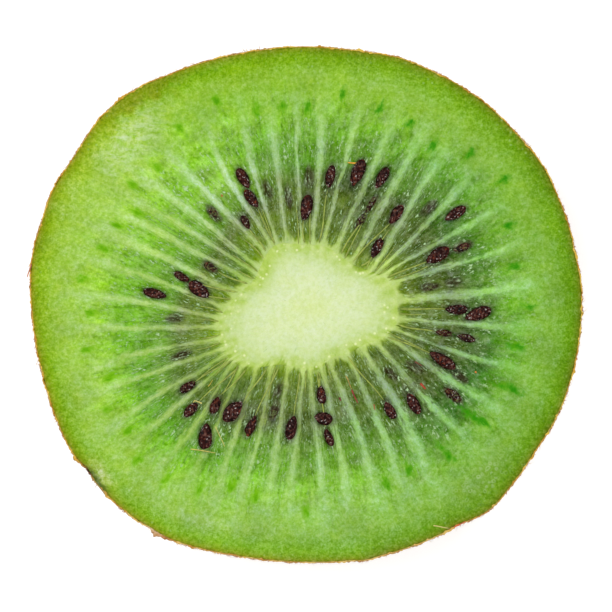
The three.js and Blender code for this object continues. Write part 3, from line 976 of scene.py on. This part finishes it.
def rings_round(spine, side, over, girth, sides):
    """Rings of sides points round each point of a spine, girth from it, in the plane of side
    and over."""
    turn = np.arange(sides) * 2 * np.pi / sides
    ring = side[..., None, :] * np.cos(turn)[:, None] + over[..., None, :] * np.sin(turn)[:, None]
    return spine[..., None, :] + ring * girth[..., None, None]


def tapered_hairs(roots, ways, bends, lengths, thickness):
    """Hairs as arrays: each runs from its root along its way, bends as the square of the
    distance, and tapers to a point."""
    steps, girth = np.array(HAIR_RINGS).T
    path = roots[:, None] + ways[:, None] * (lengths[:, None] * steps)[..., None]
    path = path + bends[:, None] * (lengths[:, None] * steps**2)[..., None]
    side = unit(np.cross(ways, [0.31, 0.52, 0.79]))
    over = np.cross(ways, side)
    return rings_round(path, side[:, None], over[:, None], thickness * girth, HAIR_SIDES)


def many_tubes(name, tubes):
    """A piece of many closed tubes, from an array of tubes by rings by points."""
    corner = np.arange(tubes.size // 3).reshape(tubes.shape[:3])
    beside = np.roll(corner, -1, axis=2)
    quads = np.stack([corner[:, :-1], beside[:, :-1], beside[:, 1:], corner[:, 1:]], -1)
    ends = np.concatenate([corner[:, 0, ::-1], corner[:, -1]]).tolist()
    return make_piece(name, tubes, quads, ends)


def level_ways(bearing):
    """The level ways out and round at each bearing."""
    return at_height(outwards(bearing), 0 * bearing), at_height(outwards(bearing + 90), 0 * bearing)


out_way, round_way = level_ways(hair_bearing)
hair_reach = rim_reach(hair_bearing) + SIDE_BULGE * (1 - hair_up**2) - ROOT_DEPTH
hair_roots = out_way * hair_reach[:, None]
hair_roots[:, 2] = THICKNESS / 2 * (1 + hair_up)
lean = draw.normal(0, 1, (HAIRS, 2))
near_edge = ease(0.3, 0.75, hair_up)
stand = draw.uniform(0.02, 0.22, HAIRS) * (1 - 0.8 * near_edge)
hair_length = hair_length * (1 - 0.65 * near_edge)
hair_ways = out_way * stand[:, None] + round_way * lean[:, :1] * 0.6
hair_ways[:, 2] += lean[:, 1] * 0.5
hair_ways = unit(hair_ways)
hair_bends = round_way * draw.normal(0, 0.3, (HAIRS, 1)) - out_way * 0.15
hair_bends[:, 2] += draw.normal(0, 0.25, HAIRS)

# Hairs whose tips would reach the ground or stand past the cut face are kept short.
tip_height = hair_roots[:, 2] + (hair_ways + hair_bends)[:, 2] * hair_length
hair_length = np.where(tip_height < 0.1, 0.2, hair_length)
hair_length = np.where(tip_height > THICKNESS, hair_length * 0.4, hair_length)
side_hairs = tapered_hairs(hair_roots, hair_ways, hair_bends, hair_length, HAIR_GIRTH)
side_hairs[..., 2] = np.maximum(side_hairs[..., 2], HAIR_FOOT)

# Short tufts at the upper cut edge, where the knife left the fuzz standing in small groups.
TUFTS, TUFT_HAIRS = 110, 5
tuft = np.repeat(draw.uniform(0, 360, TUFTS), TUFT_HAIRS)
edge_bearing = tuft + draw.normal(0, 0.35, len(tuft))
edge_up = draw.uniform(0.9, 0.985, len(tuft))
edge_out, edge_round = level_ways(edge_bearing)
edge_roots = edge_out * (rim_reach(edge_bearing) - 0.03)[:, None]
edge_roots[:, 2] = THICKNESS / 2 * (1 + edge_up)
edge_ways = edge_out + edge_round * draw.normal(0, 0.9, (len(tuft), 1))
edge_ways[:, 2] += draw.normal(-0.2, 0.3, len(tuft))
edge_ways = unit(edge_ways)
edge_bends = edge_round * draw.normal(0, 0.4, (len(tuft), 1))
edge_lengths = draw.uniform(0.08, 0.24, len(tuft)) * (1 - 0.6 * bell(edge_bearing, 335, 45))
edge_hairs = tapered_hairs(edge_roots, edge_ways, edge_bends, edge_lengths, TUFT_GIRTH)
fuzz = many_tubes("kiwi_fuzz", np.concatenate([side_hairs, edge_hairs]))
hair_shade = np.append(draw.random(HAIRS), draw.uniform(-1.0, -0.4, len(tuft)))
store(fuzz, "shade", np.repeat(hair_shade, len(HAIR_RINGS) * HAIR_SIDES))

fluff = Finish("kiwi_fuzz", Roughness=0.6, Specular_IOR_Level=0.3)
shade = fluff.stored("shade")
tone = shade.blend((196, 146, 72), (240, 204, 140))
fluff.put(fuzz, Base_Color=shade.spread(0, -1).blend(tone, (186, 112, 44)))
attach(fuzz, "root")


# ---- The seeds ----
# Small hard dark seeds, drop-shaped and a little flat, with a pitted glossy coat. They lie in
# the wet chambers with their points towards the core, cut free or half sunk in the flesh.

SEED_DEPTH = 0.42  # half a seed's thickness
SEED_SINK = 0.06
SEED_STEPS, SEED_SIDES = 32, 32
PIT_DEPTH = 0.06  # as a share of a seed's half width


def seed_net(lay, turn, own):
    """The net of low ridges on a seed, from -1 in a pit to 1 on a ridge: two cosines crossed, so
    that the pits stand in staggered rows, and bent unevenly by two sines in each seed's own way."""
    rows = 13 * lay + 1.1 * np.sin(2 * turn + 9 * own) + 0.8 * np.sin(3 * turn + 5 * lay)
    files = 8 * turn + 1.2 * np.sin(4 * lay + 7 * own) + 0.9 * np.sin(3 * turn + 31 * own)
    return np.clip(0.2 - 0.9 * np.cos(rows) * np.cos(files), -1, 1)


def seed_form(length, width, own):
    """One seed about its middle: an oval turned round its long way, a little fuller at the
    outer end and drawn to a point at the inner, and flattened to SEED_DEPTH, with its net."""
    lay = np.linspace(0.12, np.pi - 0.12, SEED_STEPS)[:, None]
    turn = (np.arange(SEED_SIDES) * 2 * np.pi / SEED_SIDES)[None]
    net = seed_net(lay, turn, own)
    end = -np.cos(lay)
    swell = np.sin(lay) * (1 + 0.12 * end - 0.1 * np.clip(-end, 0, 1) ** 3)
    along = end * length / 2 - 0.06 * length * np.clip(-end, 0, 1) ** 6 + 0 * turn
    swell = swell + PIT_DEPTH * net * np.sin(lay)
    beside = width / 2 * swell * np.cos(turn)
    height = SEED_DEPTH * swell * np.sin(turn)
    return np.stack([along, beside, height], -1), net


upper_lookup = rings[: len(core_shares) + len(upper_shares)].reshape(-1, 3)


def upper_height(x, y):
    """The upper face's height at each point, taken from the nearest point of its grid."""
    far = (upper_lookup[:, 0] - np.ravel(x)[:, None]) ** 2
    far += (upper_lookup[:, 1] - np.ravel(y)[:, None]) ** 2
    return upper_lookup[far.argmin(1), 2].reshape(np.shape(x))


def placed_seeds(seeds, way, number):
    """All the seeds of one face that show, as an array of seeds by rings by points: each turned
    to its place, tipped a little, and sunk in the face by SEED_SINK and more under its veil."""
    draw = np.random.default_rng(number)
    placed, kept, nets = [], [], []
    for seed in seeds:
        length, width, veil = seed[3:]
        if veil < BURIED:
            middle, long_way, cross_way = seed_frame(seed)
            form, net = seed_form(length, width, draw.random())
            ground = SEED_DEPTH if way < 0 else upper_height(*middle)
            sink = SEED_SINK + SEED_DEPTH * veil + draw.uniform(-0.03, 0.05)
            roll, pitch = draw.normal(0, 0.12, 2)
            height = form[..., 2] + form[..., 1] * roll + form[..., 0] * pitch * 0.5
            flat = middle + form[..., :1] * long_way + form[..., 1:2] * cross_way
            placed.append(at_height(flat, ground + way * (height - sink)))
            kept.append(veil)
            nets.append(net)
    return np.array(placed), np.array(kept), np.array(nets)


upper_forms, upper_veils, upper_nets = placed_seeds(UPPER_SEEDS, 1, 51)
# The lower face's seeds are set in so that none reaches the ground. They are mirrored, so their
# points then run the other way round, to face outwards.
lower_forms, lower_veils, lower_nets = placed_seeds(LOWER_SEEDS, -1, 52)
lower_forms[..., 2] = np.maximum(lower_forms[..., 2], 2 * GROUND_GAP)
lower_forms, lower_nets = lower_forms[:, :, ::-1], lower_nets[:, :, ::-1]
seeds = many_tubes("kiwi_seeds", np.concatenate([upper_forms, lower_forms]))
veils = np.concatenate([upper_veils, lower_veils])
every = np.ones((len(veils), SEED_STEPS, SEED_SIDES))
# How far each point faces up or down rather than out to the seed's rim, for painted light and shade.
painted_top_light = np.abs(np.sin(np.arange(SEED_SIDES) * 2 * np.pi / SEED_SIDES))
own_number = np.random.default_rng(53).random(len(veils))
store(seeds, "veil", every * veils[:, None, None])
store(seeds, "side", every * painted_top_light)
store(seeds, "end", every * np.linspace(0, 1, SEED_STEPS)[:, None])
store(seeds, "ridge", np.concatenate([upper_nets, lower_nets]))
store(seeds, "own", every * own_number[:, None, None])

husk = Finish("kiwi_seed", Roughness=0.4, Specular_IOR_Level=0.03, Coat_Weight=0.07, Coat_Roughness=0.12)
place, own = husk.place(), husk.stored("own")
# The pits are painted near black and the ridges of the net lighter: partly the coat's own colour, partly
# painted shade in the pits and painted highlights on the ridges.
ridge = husk.stored("ridge") + place.noise(4200, 2).spread(0.3, 0.7, -1, 1)
tone = ridge.spread(-1, 0.6).blend((4, 0, 0), (56, 20, 12))
tone = ridge.spread(0.3, 1.6, 0, 0.5).blend(tone, (128, 100, 88))
red_end = husk.stored("end").spread(0.88, 1) * own.spread(0.55, 0.75)
tone = (red_end * 0.7).blend(tone, (124, 46, 26))
rust = place.noise(2500, 2).spread(0.58, 0.68) * own.spread(0.3, 0.8)
tone = (rust * 0.4).blend(tone, (140, 66, 34))
# Painted light and shade: each seed is painted darker towards its rim and lighter over its flat faces.
tone = tone.scaled(husk.stored("side").spread(0.1, 0.9, 0.35, 1.2))
tone = tone.scaled(place.noise(1500, 2, 0.5).spread(0.35, 0.65, 0.55, 1.35))
# Painted highlights: small pale glints painted on the seeds' wet coat.
painted_glint = place.noise(5200, 1, 0.5).spread(0.65, 0.72)
tone = (painted_glint * 0.75).blend(tone, (196, 184, 178))
film = (place.noise(4200, 3, 0.7) + husk.stored("veil") * 0.45).spread(0.7, 0.8)
tone = (film * 0.8).blend(tone, (96, 112, 64))
normal = place.noise(9000).bump(0.00003)
husk.put(seeds, Base_Color=tone, Normal=normal, Coat_Normal=normal)
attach(seeds, "root")


# ---- The seed threads ----
# Each seed hangs on a fine yellowish thread that grows from the core's edge. The knife bared
# them, so they lie on the wet face of each chamber, and a few loose fibres lie across it.

THREAD_STEPS, THREAD_SIDES = 14, 6
THREAD_RADIUS, THREAD_SWAY = 0.085, 0.14


def thread_path(start, end, sway, number):
    """A path in X and Y from start to end, swaying to one side as a sine wave."""
    draw = np.random.default_rng(number)
    t = np.linspace(0, 1, THREAD_STEPS)[:, None]
    way = end - start
    beside = np.array([-way[1], way[0]]) / np.linalg.norm(way)
    wave = np.sin(np.pi * t) * draw.uniform(-1, 1) + 0.5 * np.sin(2 * np.pi * t) * draw.uniform(-1, 1)
    return start + way * t + beside * sway * wave


def thread_tube(path, radius):
    """A tube carried along the path on the upper face, half sunk in it, that swells at its root
    and thins away at its other end."""
    height = upper_height(path[:, 0], path[:, 1]) + radius * 0.1
    spine = at_height(path, height)
    way = unit(np.gradient(spine, axis=0))
    side = unit(np.cross(way, [0, 0, 1]))
    t = np.linspace(0, 1, len(path))
    girth = radius * (1.1 - 0.55 * t) * np.sqrt(np.clip(t * 14, 0.02, 1) * np.clip((1 - t) * 9, 0.02, 1))
    return rings_round(spine, side, np.cross(side, way), girth, THREAD_SIDES)


tubes = []
for number, seed in enumerate(UPPER_SEEDS):
    middle, long_way, _ = seed_frame(seed)
    turned, length, _, veil = seed[2:]
    tip = middle - long_way * length * 0.47
    bearing = bearing_of(tip - CORE_MIDDLE)
    root = CORE_MIDDLE + (core_reach(bearing) + 0.2) * outwards(bearing)
    if veil < 0.5 and abs(turned) < 50 and 0.6 < np.linalg.norm(tip - root) < 5.5:
        tubes.append(thread_tube(thread_path(root, tip, THREAD_SWAY, 60 + number), THREAD_RADIUS))

# Short threads whose seeds the knife took away.
draw = np.random.default_rng(61)
for gap in range(len(RAYS)):
    for beside in draw.uniform(0.25, 0.75, draw.integers(0, 2)):
        run = np.linspace(0.0, draw.uniform(0.08, 0.24), THREAD_STEPS)
        sway = 0.1 * np.sin(np.linspace(0, 3, THREAD_STEPS)) * draw.uniform(-1, 1)
        tubes.append(thread_tube(chamber_points(gap + beside + sway, run), draw.uniform(0.05, 0.075)))

# Loose fibres and bits of seed stalk on the cut face: the ends in X and Y, radius and colour.
LOOSE_FIBRES = (
    (5.6, 13.2, 3.9, 13.32, 0.11, (240, 176, 60)), (-9.75, -9.3, -10.45, -8.98, 0.07, (218, 206, 116)),
    (-10.45, -8.98, -10.6, -9.2, 0.06, (214, 200, 108)), (-9.2, -7.7, -8.7, -7.05, 0.05, (196, 178, 66)),
    (3.72, -6.65, 4.31, -8.0, 0.06, (184, 158, 80)), (4.28, -7.95, 4.9, -9.3, 0.09, (140, 60, 42)),
    (3.15, -8.7, 3.24, -9.05, 0.11, (124, 60, 48)), (10.7, -7.4, 11.25, -7.95, 0.13, (176, 72, 40)),
    (15.85, -6.28, 16.02, -6.4, 0.1, (214, 130, 52)), (-7.95, 10.25, -7.8, 10.12, 0.11, (208, 128, 48)),
    (10.2, -5.35, 10.9, -5.75, 0.09, (112, 70, 44)), (6.35, -9.35, 6.5, -9.9, 0.06, (170, 96, 48)),
    (-8.5, -11.4, -7.6, -13.4, 0.05, (214, 206, 110)), (-10.9, -13.55, -8.4, -13.95, 0.05, (206, 190, 96)),
    (13.85, -20.88, 15.0, -20.3, 0.07, (212, 104, 60)), (11.9, -20.72, 13.5, -20.98, 0.05, (222, 206, 130)),
    (-25.75, 3.8, -26.15, 2.5, 0.08, (206, 132, 96)),
)
for number, (x0, y0, x1, y1, girth, _) in enumerate(LOOSE_FIBRES):
    path = thread_path(np.array([x0, y0]), np.array([x1, y1]), 0.04, 80 + number)
    tubes.append(thread_tube(path, girth))
threads = many_tubes("seed_threads", np.array(tubes)[:, ::-1])
plain = len(tubes) - len(LOOSE_FIBRES)
fibre_tones = reflectance([(152, 168, 72)] * plain + [row[5] for row in LOOSE_FIBRES])
store(threads, "tone", np.repeat(fibre_tones, THREAD_STEPS * THREAD_SIDES, axis=0), "FLOAT_COLOR")
flax = Finish("seed_threads", Roughness=0.4, Specular_IOR_Level=0.3)
shading = flax.place().noise(1800).spread(0.35, 0.65, 0.75, 1.3)
flax.put(threads, Base_Color=flax.stored("tone", "Color").scaled(shading))
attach(threads, "root")


# ---- The studio ----
# A plain white floor, soft light from all round with a little more from the upper left, and a
# camera that looks straight down on the slice.

bpy.ops.mesh.primitive_plane_add(size=3, location=(0, 0, 0))
floor = bpy.context.object
floor.name = "floor"
paper = Finish(
    "floor",
    Roughness=0.9,
    Specular_IOR_Level=0.0,
    Base_Color=(0.9, 0.9, 0.9, 1.0),
    Emission_Color=(1.0, 1.0, 1.0, 1.0),
    Emission_Strength=0.25,
)
paper.put(floor)

LIGHT_REACH = 0.7  # metres from the slice to each light
# Square soft lights, each turned to face the slice: bearing, elevation, breadth and power.
for name, bearing, elevation, breadth, power in (
    ("key", 300, 50, 0.4, 2.1), ("fill", 110, 48, 0.45, 1.25),
    ("back", 25, 48, 0.4, 1.1), ("front", 205, 48, 0.4, 1.1),
):
    turn, tilt = np.radians([bearing, elevation])
    lamp = bpy.data.lights.new(name, "AREA")
    lamp.energy, lamp.size = power, breadth
    piece = bpy.data.objects.new(name, lamp)
    flat = np.cos(tilt) * LIGHT_REACH
    piece.location = (flat * np.sin(turn), flat * np.cos(turn), LIGHT_REACH * np.sin(tilt))
    piece.rotation_euler = (np.pi / 2 - tilt, 0, np.pi - turn)
    bpy.context.scene.collection.objects.link(piece)

world = bpy.data.worlds.new("studio")
world.use_nodes = True
sky = world.node_tree.nodes["Background"].inputs
sky["Color"].default_value = (1, 1, 1, 1)
sky["Strength"].default_value = 0.7
bpy.context.scene.world = world
bpy.context.scene.view_settings.view_transform = "Standard"

LENS, SENSOR = 200, 36
VIEW_WIDTH = 57.34  # how much of the cut face's level fits across the view
VIEW_MIDDLE = (0.003, -0.147)  # the slice lies a hair off the middle
camera = bpy.data.cameras.new("camera")
camera.lens, camera.sensor_width = LENS, SENSOR
camera.clip_start, camera.clip_end = 0.01, 10
eye = bpy.data.objects.new("camera", camera)
eye.location = np.array([*VIEW_MIDDLE, THICKNESS + VIEW_WIDTH * LENS / SENSOR]) * MM
bpy.context.scene.collection.objects.link(eye)
bpy.context.scene.camera = eye
